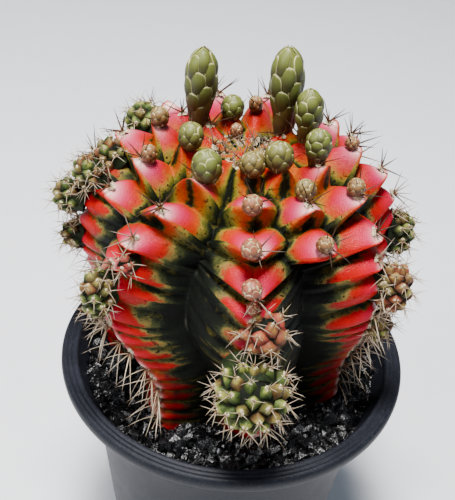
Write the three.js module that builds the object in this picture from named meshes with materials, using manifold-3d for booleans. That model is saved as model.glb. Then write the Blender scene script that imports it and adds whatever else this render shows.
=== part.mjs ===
// Chin cactus with flower buds and offsets, growing in a round nursery pot.
// Millimetres, +Z up. The origin is the middle of the pot's base, on the surface the pot stands on;
// the front of the plant faces -Y and angles round the plant are measured from there towards +X.
import * as THREE from 'three';
import { mergeVertices } from 'three/addons/utils/BufferGeometryUtils.js';
import Module from 'manifold-3d';

const wasm = await Module();
wasm.setup();

// ---- driving sizes ----------------------------------------------------------------------------
const POT_HEIGHT = 90;            // standing surface to the top of the rim
const RIM_RADIUS = 52.5;          // outside of the rolled rim (a 105 mm pot)
const RIM_DEPTH = 4.5;            // height of the rolled rim
const RIM_WIDTH = 5.2;            // how far the rim reaches from its inner edge to its outside
const BASE_RADIUS = 34.8;         // outside of the pot at the base
const RIM_OVERHANG = 4.47;         // how far the rim stands out from the top of the wall
const FLARE = 3.6;                // how far the wall flares out under the rim
const FLARE_LENGTH = 30;          // height of that flare, down from the top
const WALL = 1.6;                 // wall thickness
const FLOOR = 2.4;                // thickness of the pot's floor
const FOOT_RISE = 2;              // height of the drained ring under the floor
const DRAIN_HOLES = 8;
const DRAIN_RADIUS = 3;
const DRAIN_CIRCLE = 20;          // middle of the pot to the middle of each drain hole

const GRIT_BELOW_RIM = 6;         // top of the rim to the top of the lava grit
const GRIT_DEPTH = 4;
const GRIT_ROUGHNESS = 0.9;       // how far stones stand proud of the level

const STEM_RADIUS = 46;           // axis to the outside of the ribs at the waist
const WAIST_ABOVE_GRIT = 40;      // grit to the widest part
const STEM_DOME = 38.5;           // waist to shoulder
const CROWN_DIP = 7;              // how far the growing point sits below the shoulder
const STEM_SQUARENESS = 2.9;      // 2 is an ellipse, larger has squarer shoulders
const FOOT_SINK = 2;              // how deep the ribs reach into the grit
const FOOT_TAPER = 7.5;           // how much narrower the ribs are at the foot
const FOOT_CLEARANCE = 2.9;       // least room between the ribs' feet and the pot's rim
const GROOVE_DEPTH = 14;          // deepest part of the grooves between ribs
const STEM_OFFSET = [-1.9, 5.5];  // the plant is a little off the pot's centre
const GAP = 0.3;                  // clearance between pieces that touch on the real plant

const gritLevel = POT_HEIGHT - GRIT_BELOW_RIM;
const stemWaist = gritLevel + WAIST_ABOVE_GRIT;
const footLength = WAIST_ABOVE_GRIT + FOOT_SINK;
const rimInside = RIM_RADIUS - RIM_WIDTH;
const roomForFoot = rimInside - Math.hypot(...STEM_OFFSET) - FOOT_CLEARANCE;
const footRadius = Math.min(STEM_RADIUS - FOOT_TAPER, roomForFoot);

// ---- the ribs ---------------------------------------------------------------------------------
// Angle of the ridge near the crown, at the waist and at the foot; first: where its youngest areole
// is (0 crown, 1 waist, 2 foot); pace: spacing of the areoles; width: degrees from a ridge to where
// its flank reaches the groove floor; short ribs end in a chin part way down.
const RIBS = [
  { name: 'front', top: 8, waist: 7, foot: 16, first: 0.09, pace: 1.05, width: 28 },
  { name: 'front_right', top: 35, waist: 34, foot: 36, first: 0.14, pace: 1.0, width: 22, short: 0.62 },
  { name: 'right', top: 64, waist: 58, foot: 63, first: 0.22, pace: 1.0, width: 28 },
  { name: 'right_back', top: 99, waist: 99, foot: 98, first: 0.14, pace: 1.0, width: 22 },
  { name: 'back_right', top: 124, waist: 129, foot: 132, first: 0.09, pace: 1.1, width: 20 },
  { name: 'back', top: 170, waist: 164, foot: 164, first: 0.17, pace: 1.0, width: 20 },
  { name: 'back_left', top: 197, waist: 196, foot: 196, first: 0.11, pace: 1.0, width: 20 },
  { name: 'left_back', top: 229, waist: 227, foot: 226, first: 0.1, pace: 1.0, width: 20 },
  { name: 'left', top: 257, waist: 266, foot: 268, first: 0.25, pace: 0.9, width: 24 },
  { name: 'left_short', top: 292, waist: 305, foot: 298, first: 0.13, pace: 0.9, width: 20, short: 0.6 },
  { name: 'front_left', top: 330, waist: 314, foot: 332, first: 0.23, pace: 0.97, width: 28 },
];
const COLUMNS_PER_RIB = 6;

const clamp = (x, a, b) => Math.min(Math.max(x, a), b);
const ramp = (a, b, x) => { const t = clamp((x - a) / (b - a), 0, 1); return t * t * (3 - 2 * t); };
const rad = (degrees) => degrees * Math.PI / 180;
const mix = (a, b, t) => a + (b - a) * t;

const ridgeAngle = (rib, s) => (s < 1 ? mix(rib.top, rib.waist, ramp(0.2, 1, s))
  : mix(rib.waist, rib.foot, ramp(1, 1.6, s)));

// Places of a rib's areoles: far apart on the shoulder and crowded towards the foot.
function areoles(rib) {
  const found = [];
  for (let s = rib.first; s < (rib.short ?? 1.95); s += rib.pace * mix(0.22, 0.1, ramp(0.45, 0.85, s))) {
    found.push(s);
  }
  return found;
}
RIBS.forEach((rib) => { rib.areoles = areoles(rib); });

// The line every ridge follows, as radius and height, with its outward direction.
function ridgeLine(s) {
  if (s <= 1) {
    const t = s * Math.PI / 2;
    const r = STEM_RADIUS * Math.sin(t) ** (2 / STEM_SQUARENESS);
    const z = stemWaist + STEM_DOME * Math.cos(t) ** (2 / STEM_SQUARENESS);
    return [r, z - CROWN_DIP * Math.exp(-((r / 13) ** 2))];
  }
  const down = (s - 1) * footLength;
  return [mix(STEM_RADIUS, footRadius, ramp(0, 30, down)), stemWaist - down];
}
function ridgeNormal(s) {
  const [r0, z0] = ridgeLine(Math.max(s - 0.02, 0.001));
  const [r1, z1] = ridgeLine(Math.min(s + 0.02, 2));
  const length = Math.hypot(r1 - r0, z1 - z0);
  return [-(z1 - z0) / length, (r1 - r0) / length];
}

const grooveDepth = (s) => (s < 0.5 ? GROOVE_DEPTH * mix(0.1, 1, ramp(0, 0.16, s))
  : mix(GROOVE_DEPTH, GROOVE_DEPTH * 0.72, ramp(0.5, 2, s)));
const tubercleHeight = (s) => 5.5 * ramp(0.02, 0.2, s) * (1 - ramp(0.5, 1.15, s)) + 0.8;

// 1 on an areole and 0 between two: rises slowly to the areole and drops away under its chin.
function tubercle(rib, s) {
  let best = 0;
  rib.areoles.forEach((at, k) => {
    const above = at - (rib.areoles[k - 1] ?? at - 0.2);
    const below = (rib.areoles[k + 1] ?? at + 0.2) - at;
    const away = s < at ? (at - s) / above : (s - at) / below * 1.6;
    best = Math.max(best, 1 - ramp(0.15, 0.75, away));
  });
  return best;
}

// How far below the ridge line the skin lies, at an angle round the plant.
function depthAt(angle, s) {
  const floor = grooveDepth(s);
  let height = 0;
  for (const rib of RIBS) {
    const off = Math.abs(((angle - ridgeAngle(rib, s)) % 360 + 540) % 360 - 180);
    const rounded = Math.hypot(off, 2) - 2;
    const flank = 1 - (rounded / rib.width) ** 1.15;
    if (flank <= 0) continue;
    const alive = rib.short ? 1 - ramp(rib.short - 0.02, rib.short + 0.1, s) : 1;
    const dent = tubercleHeight(s) * (1 - tubercle(rib, s));
    height = Math.max(height, (floor - dent) * flank * alive);
  }
  return floor - height;
}

const aroundStem = (angle, r, z) => new THREE.Vector3(
  STEM_OFFSET[0] + r * Math.sin(rad(angle)), STEM_OFFSET[1] - r * Math.cos(rad(angle)), z);

function skinPoint(angle, s, grow = 0) {
  const [r, z] = ridgeLine(s);
  const [nr, nz] = ridgeNormal(s);
  const d = grow - depthAt(angle, s);
  return aroundStem(angle, Math.max(r + nr * d, 0.6), z + nz * d);
}

// ---- solids -----------------------------------------------------------------------------------
// A closed skin over rings of points, shut at both ends with one point.
function closedSkin(first, rings, last) {
  const count = rings[0].length;
  const points = [first, ...rings.flat(), last];
  const tris = [];
  const at = (ring, k) => 1 + ring * count + (k % count);
  for (let k = 0; k < count; k++) tris.push(0, at(0, k), at(0, k + 1));
  for (let ring = 0; ring + 1 < rings.length; ring++) {
    for (let k = 0; k < count; k++) {
      tris.push(at(ring, k), at(ring + 1, k), at(ring + 1, k + 1));
      tris.push(at(ring, k), at(ring + 1, k + 1), at(ring, k + 1));
    }
  }
  const end = points.length - 1;
  for (let k = 0; k < count; k++) tris.push(end, at(rings.length - 1, k + 1), at(rings.length - 1, k));
  const flat = new Float32Array(points.flatMap((p) => [p.x, p.y, p.z]));
  return new wasm.Manifold(new wasm.Mesh({
    numProp: 3, vertProperties: flat, triVerts: new Uint32Array(tris),
  }));
}

// A closed three.js geometry as a solid that can be joined and cut.
function solidFrom(geometry) {
  geometry.deleteAttribute('normal');
  geometry.deleteAttribute('uv');
  const merged = mergeVertices(geometry, 1e-4);
  return new wasm.Manifold(new wasm.Mesh({
    numProp: 3, vertProperties: merged.attributes.position.array,
    triVerts: new Uint32Array(merged.index.array),
  }));
}

// A solid of revolution about +Z; its profile runs up from the axis and back to it.
function turned(profile, sides) {
  const points = profile.map(([r, z]) => new THREE.Vector2(r, z));
  return solidFrom(new THREE.LatheGeometry(points, sides).rotateX(Math.PI / 2));
}

// A turned shape stood on a point, its +Z turned to a direction.
function stoodOn(solid, point, direction) {
  const turn = new THREE.Quaternion().setFromUnitVectors(new THREE.Vector3(0, 0, 1), direction);
  const m = new THREE.Matrix4().compose(point, turn, new THREE.Vector3(1, 1, 1));
  return solid.transform(m.elements);
}

const biggest = (solid) => solid.decompose().sort((a, b) => b.volume() - a.volume())[0];

// Cuts away whatever of the other solids is in reach, and keeps the largest part left.
function clearedOf(solid, others) {
  const box = solid.boundingBox();
  const near = others.filter((other) => [0, 1, 2].every((c) => other.box.max[c] > box.min[c]
    && other.box.min[c] < box.max[c]));
  return biggest(near.reduce((left, other) => left.subtract(other.solid), solid));
}
const reach = (solid) => ({ solid, box: solid.boundingBox() });

const group = new THREE.Group();
function piece(name, solid, colour, roughness) {
  const mesh = solid.getMesh();
  const geometry = new THREE.BufferGeometry();
  const xyz = new Float32Array(mesh.numVert * 3);
  for (let v = 0; v < mesh.numVert; v++) {
    for (let c = 0; c < 3; c++) xyz[v * 3 + c] = mesh.vertProperties[v * mesh.numProp + c];
  }
  geometry.setAttribute('position', new THREE.BufferAttribute(xyz, 3));
  geometry.setIndex(Array.from(mesh.triVerts));
  geometry.computeVertexNormals();
  const part = new THREE.Mesh(geometry, new THREE.MeshStandardMaterial({
    color: colour, roughness, metalness: 0,
  }));
  part.name = name;
  group.add(part);
}

// ---- the pot ----------------------------------------------------------------------------------
const flareStart = POT_HEIGHT - FLARE_LENGTH;
const flare = (z) => FLARE * (Math.max(z - flareStart, 0) / FLARE_LENGTH) ** 2;
const wallSlope = (RIM_RADIUS - RIM_OVERHANG - FLARE - BASE_RADIUS) / POT_HEIGHT;
const wallRadius = (z) => BASE_RADIUS + wallSlope * z + flare(z);
const rimUnder = POT_HEIGHT - RIM_DEPTH;
const insideRadius = (z) => Math.min(wallRadius(z) - WALL, rimInside);
const wallHeights = [0, 1 / 3, 2 / 3].map((share) => flareStart + share * FLARE_LENGTH);
const potFloor = FOOT_RISE + FLOOR;

const potProfile = [
  [0, 0],
  [12.5, 0],
  [13.5, FOOT_RISE],
  [BASE_RADIUS - 7.5, FOOT_RISE],
  [BASE_RADIUS - 6.5, 0],
  [BASE_RADIUS - 0.8, 0],
  [BASE_RADIUS, 1],
  ...wallHeights.map((z) => [wallRadius(z), z]),
  [wallRadius(rimUnder) + 0.2, rimUnder + 0.3],
  [RIM_RADIUS - 2.2, rimUnder],
  [RIM_RADIUS - 0.4, rimUnder],
  [RIM_RADIUS, POT_HEIGHT - 2.4],
  [RIM_RADIUS - 0.2, POT_HEIGHT - 1],
  [RIM_RADIUS - 1.3, POT_HEIGHT - 0.1],
  [rimInside + 0.8, POT_HEIGHT],
  [rimInside, POT_HEIGHT - 0.7],
  [rimInside - 0.4, POT_HEIGHT - 2.6],
  ...wallHeights.map((z) => [insideRadius(z), z]).reverse(),
  [insideRadius(potFloor), potFloor + 1.5],
  [insideRadius(potFloor) - 1.5, potFloor],
  [0, potFloor],
];
let pot = turned(potProfile, 48);
for (let k = 0; k < DRAIN_HOLES; k++) {
  const a = 2 * Math.PI * (k + 0.5) / DRAIN_HOLES;
  const drill = new THREE.CylinderGeometry(DRAIN_RADIUS, DRAIN_RADIUS, 12, 12).rotateX(Math.PI / 2)
    .translate(DRAIN_CIRCLE * Math.cos(a), DRAIN_CIRCLE * Math.sin(a), potFloor - FLOOR / 2);
  pot = pot.subtract(solidFrom(drill));
}
piece('pot', pot, '#34363d', 0.55);

// ---- the ribbed stem --------------------------------------------------------------------------
const stemRows = [];
for (let s = 0.05; s < 1; s += 0.04) stemRows.push(s);
for (let k = 0; k <= 7; k++) stemRows.push(1 + k / 7);

function stemSolid(grow) {
  const rings = stemRows.map((s) => {
    const ring = [];
    RIBS.forEach((rib, i) => {
      const from = ridgeAngle(rib, s);
      const to = ridgeAngle(RIBS[(i + 1) % RIBS.length], s);
      const span = ((to - from) % 360 + 360) % 360;
      for (let k = 0; k < COLUMNS_PER_RIB; k++) {
        ring.push(skinPoint(from + span * k / COLUMNS_PER_RIB, s, grow));
      }
    });
    return ring;
  });
  const foot = rings[rings.length - 1];
  const collar = (scale, z) => foot.map((p) => new THREE.Vector3(
    mix(STEM_OFFSET[0], p.x, scale), mix(STEM_OFFSET[1], p.y, scale), z));
  rings.push(collar(0.75, gritLevel - 4.5 - grow), collar(0.4, gritLevel - 6.5 - grow));
  const crown = aroundStem(0, 0, ridgeLine(0.001)[1] + grow - 0.6);
  return closedSkin(crown, rings, aroundStem(0, 0, gritLevel - 7 - grow));
}
const stem = stemSolid(0);
const stemClear = stemSolid(GAP);
piece('cactus_stem', stem, '#c2343c', 0.42);

// ---- growing mix and lava grit ----------------------------------------------------------------
const gritBottom = gritLevel - GRIT_DEPTH;
const mixTop = gritBottom - GAP;
const mixBottom = potFloor + GAP;
const mixHeights = [mixBottom + 1.6, ...wallHeights.filter((z) => z < mixTop), mixTop];
const mixRadius = (z) => insideRadius(z) - GAP - 0.25;
const mixProfile = [
  [0, mixBottom],
  [mixRadius(mixBottom) - 1.8, mixBottom],
  ...mixHeights.map((z) => [mixRadius(z), z]),
  [0, mixTop],
];
const growingMix = turned(mixProfile, 36).subtract(stemClear);
piece('growing_mix', biggest(growingMix), '#2b241c', 0.95);

const gritSides = 44;
const gritShares = [0.37, 0.6, 0.76, 0.87, 0.96];   // rings of stones, as shares of the way to the wall
const bump = (i, k) => GRIT_ROUGHNESS * Math.sin(i * 7.3 + k * 2.9) * Math.cos(i * 3.1 - k * 5.3);
const gritEdge = insideRadius(gritLevel - 1) - 0.6;
const gritRing = (r, z, i) => Array.from({ length: gritSides }, (_, k) => {
  const a = 2 * Math.PI * k / gritSides;
  return new THREE.Vector3(r * Math.cos(a), r * Math.sin(a), z + (i === undefined ? 0 : bump(i, k)));
});
const gritTop = gritShares.map((share, i) => gritRing(share * gritEdge, gritLevel - 0.4, i));
const grit = closedSkin(new THREE.Vector3(0, 0, gritLevel), [
  ...gritTop, gritRing(gritEdge, gritLevel - 1.4),
  gritRing(insideRadius(gritBottom) - 0.6, gritBottom),
], new THREE.Vector3(0, 0, gritBottom));
piece('grit_topping', biggest(grit.subtract(stemClear)), '#17181b', 0.6);

// ---- buds, offsets and areoles, all standing on areoles of the ribs ------------------------------
const ribNamed = (name) => RIBS.find((rib) => rib.name === name);

// Where a thing on a rib stands, and which way it faces.
function onRib(name, s, side = 0) {
  const angle = ridgeAngle(ribNamed(name), s) + side;
  const [nr, nz] = ridgeNormal(s);
  const outward = new THREE.Vector3(nr * Math.sin(rad(angle)), -nr * Math.cos(rad(angle)), nz);
  return { point: skinPoint(angle, s), outward, angle };
}

const grown = [reach(stemClear)];   // what later pieces are cleared from

// A flower bud: a stalk at the areole and an egg of closed scales over it.
function budSolid(width, length, grow) {
  const r = width / 2 + grow;
  const top = length + grow;
  const slim = length > 1.6 * width;
  const shape = slim
    ? [[0.55, 0], [0.62, 0.22], [0.97, 0.48], [0.92, 0.74], [0.5, 0.94]]
    : [[0.5, 0], [0.95, 0.3], [0.92, 0.66], [0.52, 0.91]];
  return turned([[0, -grow], ...shape.map(([w, h]) => [r * w, top * h - grow * (1 - h)]), [0, top]], 8);
}
const BUD_SINK = 0.6;   // how far a bud's foot is sunk in its areole
function bud(name, rib, s, width, length, upright, side = 0) {
  const { point, outward } = onRib(rib, s, side);
  const direction = outward.clone().lerp(new THREE.Vector3(0, 0, 1), upright).normalize();
  const foot = point.clone().addScaledVector(direction, -BUD_SINK);
  const tall = length + BUD_SINK;
  const solid = clearedOf(stoodOn(budSolid(width, tall, 0), foot, direction), grown);
  grown.push(reach(stoodOn(budSolid(width, tall, GAP), foot, direction)));
  piece(name, solid, '#7d8a45', 0.5);
}

bud('bud_tall_left', 'left_back', 0.14, 8.4, 23, 0.85, 4);
bud('bud_tall_right', 'back_right', 0.11, 8.6, 25, 0.85, 6);
bud('bud_right_back', 'right_back', 0.15, 7.2, 15, 0.75, -2);
bud('bud_right', 'right', 0.2, 6.6, 10.5, 0.6, 5);
bud('bud_front_right_1', 'front_right', 0.14, 7, 8, 0.7);
bud('bud_front_left', 'front_left', 0.2, 7.3, 8.4, 0.7, 4);
bud('bud_left_1', 'left_short', 0.13, 6.4, 7.2, 0.8);
bud('bud_back_left', 'back_left', 0.11, 6.2, 6.8, 0.8);
bud('bud_left_back', 'left', 0.25, 5, 5, 0.6);
bud('bud_left_2', 'left_short', 0.3, 4.2, 4.6, 0.7, 1.5);
bud('bud_back', 'back', 0.16, 4, 4.4, 0.8, 2);
bud('bud_front_1', 'front', 0.12, 6.4, 6.2, 0.7, 2);
bud('bud_front_2', 'front', 0.35, 5, 5, 0.5, -2);
bud('bud_front_3', 'front', 0.56, 5, 5, 0.4, -2.5);
bud('bud_front_4', 'front', 0.73, 5, 5, 0.2, -1.5);
bud('bud_front_right_2', 'front_right', 0.3, 5.3, 5.4, 0.7, 3);
bud('bud_front_right_3', 'front_right', 0.58, 4.3, 4.6, 0.4, -2);
bud('bud_right_2', 'right', 0.42, 4.6, 4.6, 0.5);

// An offset: a small ribbed ball set on a ridge, its tubercles in staggered rows.
function offsetSolid(width, length, grow) {
  const rings = [];
  const rows = 6;
  const sides = 12;
  for (let row = 1; row < rows; row++) {
    const t = Math.PI * row / rows;
    rings.push(Array.from({ length: sides }, (_, k) => {
      const knob = (k + row) % 2 === 0 ? 1.1 : 0.88;
      const a = 2 * Math.PI * k / sides;
      const r = (width / 2) * Math.sin(t) * knob + grow;
      return new THREE.Vector3(r * Math.cos(a), r * Math.sin(a), (length / 2 + grow) * Math.cos(t));
    }));
  }
  return closedSkin(new THREE.Vector3(0, 0, length / 2 + grow), rings,
    new THREE.Vector3(0, 0, -length / 2 - grow));
}
function offset(name, rib, s, width, length, out, side = 0) {
  const { point, outward, angle } = onRib(rib, s, side);
  const down = new THREE.Vector3(outward.z * Math.sin(rad(angle)), -outward.z * Math.cos(rad(angle)),
    -Math.hypot(outward.x, outward.y));
  const centre = point.clone().addScaledVector(outward, out);
  const solid = clearedOf(stoodOn(offsetSolid(width, length, 0), centre, down), grown);
  grown.push(reach(stoodOn(offsetSolid(width, length, GAP), centre, down)));
  piece(name, solid, '#55623a', 0.5);
}

offset('offset_front_upper', 'front', 0.93, 12, 12, 3, 4);
offset('offset_front_ball', 'front', 1.1, 19.5, 18, 8);
offset('offset_left_lower', 'front_left', 0.94, 9, 15, 3.5);
offset('offset_left_knob', 'front_left', 0.78, 5, 6, 2, 4.5);
offset('offset_left_edge_1', 'left', 0.55, 9, 10, 3, 5);
offset('offset_left_edge_2', 'left', 0.71, 10, 11, 4, 5);
offset('offset_left_edge_3', 'left', 0.88, 9, 11, 4, 2);
offset('offset_left_edge_4', 'left', 1.05, 7.5, 9, 2.8);
offset('offset_back_left', 'left_back', 0.5, 11, 12, 3, 8);
offset('offset_right_edge', 'right_back', 0.97, 9, 15, 3.5);
offset('offset_right_middle', 'right', 0.93, 10, 16, 4, 4);
offset('offset_right_lower', 'right', 1.15, 8, 9.5, 3.2, 4);

// An areole: a pad of wool with its fan of spines grown from it.
const SPINE_LENGTH = 9;
const SPINE_RADIUS = 0.42;
const FAN = [[0, 60], [55, 48], [-55, 48], [120, 50], [-120, 50]];   // turn round the pad, tilt
function areole(name, rib, s, scale = 1, lift = 0) {
  const { point, outward, angle } = onRib(rib, s);
  const down = new THREE.Vector3(outward.z * Math.sin(rad(angle)), -outward.z * Math.cos(rad(angle)),
    -Math.hypot(outward.x, outward.y));
  const pad = turned([[0, -0.9], [1.6, -0.3], [1.3, 0.5], [0, 1]], 6);
  let solid = stoodOn(pad, point, outward);
  FAN.forEach(([turn, tilt]) => {
    const across = down.clone().applyAxisAngle(outward, rad(turn));
    const direction = outward.clone().multiplyScalar(Math.cos(rad(tilt - lift)))
      .addScaledVector(across, Math.sin(rad(tilt - lift)));
    const length = SPINE_LENGTH * scale * (Math.abs(turn) > 90 ? 0.8 : 1);
    const spine = turned([[0, -0.3], [SPINE_RADIUS, 0], [0, length]], 3);
    solid = solid.add(stoodOn(spine, point, direction));
  });
  solid = clearedOf(solid, grown);
  grown.push(reach(solid));
  piece(name, solid, '#d8c8a4', 0.8);
}

areole('areole_front_left_1', 'front_left', 0.45);
areole('areole_front_left_2', 'front_left', 0.64);
areole('areole_front_left_3', 'front_left', 1.22);
areole('areole_front_left_4', 'front_left', 1.42);
areole('areole_front_left_5', 'front_left', 1.6);
areole('areole_front_left_6', 'front_left', 1.76, 0.8);
areole('areole_left_short', 'left_short', 0.53);
areole('areole_left_1', 'left', 1.26);
areole('areole_left_back', 'left_back', 0.26);
areole('areole_back_left', 'back_left', 0.33);
areole('areole_back', 'back', 0.39);
areole('areole_back_right_1', 'back_right', 0.33);
areole('areole_back_right_2', 'back_right', 0.57);
areole('areole_right_back_1', 'right_back', 0.36);
areole('areole_right_back_2', 'right_back', 0.58);
areole('areole_right_1', 'right', 0.65);
areole('areole_right_2', 'right', 0.79, 0.8);
areole('areole_right_3', 'right', 1.32);
areole('areole_right_4', 'right', 1.5);
areole('areole_right_5', 'right', 1.68);
areole('areole_front', 'front', 1.8, 0.7);

export default group;
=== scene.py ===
# %% [markdown]
# # A chin cactus in a nursery pot
# This notebook grows a small round cactus, its flower buds, offsets and spines, and pots it in
# lava grit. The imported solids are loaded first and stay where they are. Most pieces made here are
# the fine surface of one of them, in the same place, in metres. The smallest buds, the crown's wool
# and the areoles between the larger ones are added to them.

# %% Load the frame
import math

import bpy
import numpy as np
from mathutils import Matrix, Vector


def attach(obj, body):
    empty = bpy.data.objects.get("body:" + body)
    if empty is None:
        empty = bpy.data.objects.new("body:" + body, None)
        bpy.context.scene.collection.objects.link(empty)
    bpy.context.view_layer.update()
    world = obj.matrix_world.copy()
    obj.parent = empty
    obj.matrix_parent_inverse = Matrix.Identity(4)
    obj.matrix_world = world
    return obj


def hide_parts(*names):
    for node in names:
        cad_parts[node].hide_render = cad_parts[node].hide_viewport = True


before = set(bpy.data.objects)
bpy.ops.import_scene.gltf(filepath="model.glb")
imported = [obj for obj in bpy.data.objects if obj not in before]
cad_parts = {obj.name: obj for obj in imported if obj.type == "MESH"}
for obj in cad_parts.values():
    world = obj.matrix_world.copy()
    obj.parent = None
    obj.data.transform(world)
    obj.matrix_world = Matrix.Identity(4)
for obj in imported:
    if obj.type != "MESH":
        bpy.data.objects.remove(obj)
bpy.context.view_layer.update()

MM = 0.001
dice = np.random.default_rng(7)
print("solids:", len(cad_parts))

# %% [markdown]
# ## Sizes
# The plant is measured in millimetres and turned to metres only when a mesh is made. Angles go
# round the plant from its front (-Y) towards +X. A second coordinate runs down each rib: 0 is the
# crown, 1 the widest part and 2 the buried foot. With these two numbers any place on the skin can
# be named, which is how the areoles, buds and offsets find where they stand.

# %% Sizes of the stem
STEM_RADIUS = 46.0
STEM_WAIST = 124.0
STEM_DOME = 38.5
CROWN_DIP = 7.0
SQUARENESS = 2.9
FOOT_LENGTH = 42.0
FOOT_TAPER = 7.5
GROOVE_DEPTH = 14.0
STEM_X = -1.9
STEM_Y = 5.5
GRIT_LEVEL = 84.0
LAST_AREOLE = 1.95          # s where the areoles of a long rib end
SHOULDER_GAP = 0.22         # s from one areole to the next on the shoulder
LOW_GAP = 0.10              # and below it

# name, ridge angle at crown, waist and foot, first areole, spacing, half width, where a short rib ends
RIBS = [
    ("front", 8, 7, 16, 0.09, 1.05, 28, None),
    ("front_right", 35, 34, 36, 0.14, 1.0, 22, 0.62),
    ("right", 64, 58, 63, 0.22, 1.0, 28, None),
    ("right_back", 99, 99, 98, 0.14, 1.0, 22, None),
    ("back_right", 124, 129, 132, 0.09, 1.1, 20, None),
    ("back", 170, 164, 164, 0.17, 1.0, 20, None),
    ("back_left", 197, 196, 196, 0.11, 1.0, 20, None),
    ("left_back", 229, 227, 226, 0.10, 1.0, 20, None),
    ("left", 257, 266, 268, 0.25, 0.9, 24, None),
    ("left_short", 292, 305, 298, 0.13, 0.9, 20, 0.60),
    ("front_left", 330, 314, 332, 0.23, 0.97, 28, None),
]
RIB_INDEX = {rib[0]: i for i, rib in enumerate(RIBS)}


def smooth(low, high, x):
    """0 below low, 1 above high, and an easy curve between."""
    t = np.clip((np.asarray(x, float) - low) / (high - low), 0.0, 1.0)
    return t * t * (3.0 - 2.0 * t)


def blend(a, b, t):
    return a + (b - a) * t


def ridge_angle(rib, s):
    """The angle of a rib's ridge at s, in degrees."""
    top, waist, foot = rib[1], rib[2], rib[3]
    upper = blend(top, waist, smooth(0.2, 1.0, s))
    lower = blend(waist, foot, smooth(1.0, 1.6, s))
    return np.where(np.asarray(s) < 1.0, upper, lower)


def ridge_line(s):
    """Radius and height of the line that every ridge follows."""
    s = np.asarray(s, float)
    t = np.clip(s, 0.0, 1.0) * np.pi / 2
    radius = STEM_RADIUS * np.sin(t) ** (2 / SQUARENESS)
    height = STEM_WAIST + STEM_DOME * np.clip(np.cos(t), 0, 1) ** (2 / SQUARENESS)
    height = height - CROWN_DIP * np.exp(-((radius / 13.0) ** 2))
    down = np.clip(s - 1.0, 0.0, 1.0) * FOOT_LENGTH
    low_radius = STEM_RADIUS - FOOT_TAPER * smooth(0.0, 30.0, down)
    return (np.where(s <= 1.0, radius, low_radius),
            np.where(s <= 1.0, height, STEM_WAIST - down))


def ridge_normal(s):
    """Outward direction across the ridge line, as (out, up)."""
    r0, z0 = ridge_line(np.maximum(np.asarray(s) - 0.02, 0.001))
    r1, z1 = ridge_line(np.minimum(np.asarray(s) + 0.02, 2.0))
    length = np.hypot(r1 - r0, z1 - z0)
    return -(z1 - z0) / length, (r1 - r0) / length


# Millimetres along the ridge for each s, so that creases can be spaced in real sizes.
S_TABLE = np.linspace(0.0, 2.0, 2001)
_radius, _height = ridge_line(S_TABLE)
RUN_TABLE = np.concatenate([[0.0], np.cumsum(np.hypot(np.diff(_radius), np.diff(_height)))])


def run_at(s):
    return np.interp(s, S_TABLE, RUN_TABLE)


def areole_places(rib):
    """Where the areoles of a rib are, far apart on the shoulder and crowded towards the foot."""
    first, pace, end = rib[4], rib[5], rib[7] or LAST_AREOLE
    places = []
    s = first
    while s < end:
        places.append(s)
        s += pace * blend(SHOULDER_GAP, LOW_GAP, float(smooth(0.45, 0.85, s)))
    return places


AREOLES = [areole_places(rib) for rib in RIBS]
print("length of a ridge in mm:", round(float(RUN_TABLE[-1]), 1))
print("areoles on each rib:", [len(places) for places in AREOLES])

# %% [markdown]
# ## The skin
# On the real plant each rib is a row of tubercles that grew one after another from the crown. Near
# the crown they are separate thick fingers: the top of each runs out to a blunt tip that carries the
# areole, and a notch cuts back under it. Lower down they have been pressed together into pleats
# that run across the flank. It could be sculpted, but a rule gives every rib the same growth with
# its own timing: the skin lies below the ridge line by a groove, by the notches and by the creases.

# %% How deep the skin lies
FOOT_GROOVE = 0.72          # share of the groove's depth that is left at the foot
TIP_WIDTH = 0.72            # share of a rib's width at the blunt tip of a finger
NOTCH_DEPTH = 5.8
PLEAT_DEPTH = 1.8
CHIN_HEIGHT = 1.1
LUMP_HEIGHT = 0.22
SHORT_RIB_FADE = 0.07       # length in s over which a short rib ends
# How much the creases rise on their way to the groove, in mm for each mm, on the shoulder and low down.
RIB_LEAN = {"left": (0.3, 0.2), "right": (-0.16, -0.08), "front_left": (-0.24, 0.05), "front": (0.4, 0.1)}
USUAL_LEAN = (-0.24, -0.1)


def groove_floor(s):
    young = GROOVE_DEPTH * blend(0.1, 1.0, smooth(0.0, 0.16, s))
    old = blend(GROOVE_DEPTH, GROOVE_DEPTH * FOOT_GROOVE, smooth(0.5, 2.0, s))
    return np.where(np.asarray(s) < 0.5, young, old)


def areole_phase(index, run):
    """Place between two areoles, 0 on the upper one and 1 on the lower, with their gap and number."""
    places = run_at(np.array(AREOLES[index]))
    first_gap = max(places[1] - places[0], 6.0)
    last_gap = places[-1] - places[-2]
    edges = np.concatenate([[places[0] - first_gap], places,
                            places[-1] + last_gap * np.array([1.2, 2.4, 3.6, 30.0])])
    k = np.clip(np.searchsorted(edges, run, side="right") - 1, 0, len(edges) - 2)
    gap = edges[k + 1] - edges[k]
    return np.clip((run - edges[k]) / gap, 0.0, 1.0), gap, k


def chance(*seeds):
    """A repeatable number from 0 to 1 for whole-number arrays such as a rib and a tubercle."""
    mixed = sum(np.asarray(seed, float) * factor for seed, factor in zip(seeds, (12.9898, 78.233, 37.7)))
    return np.mod(np.sin(mixed + 0.7) * 43758.5453, 1.0)


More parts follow.
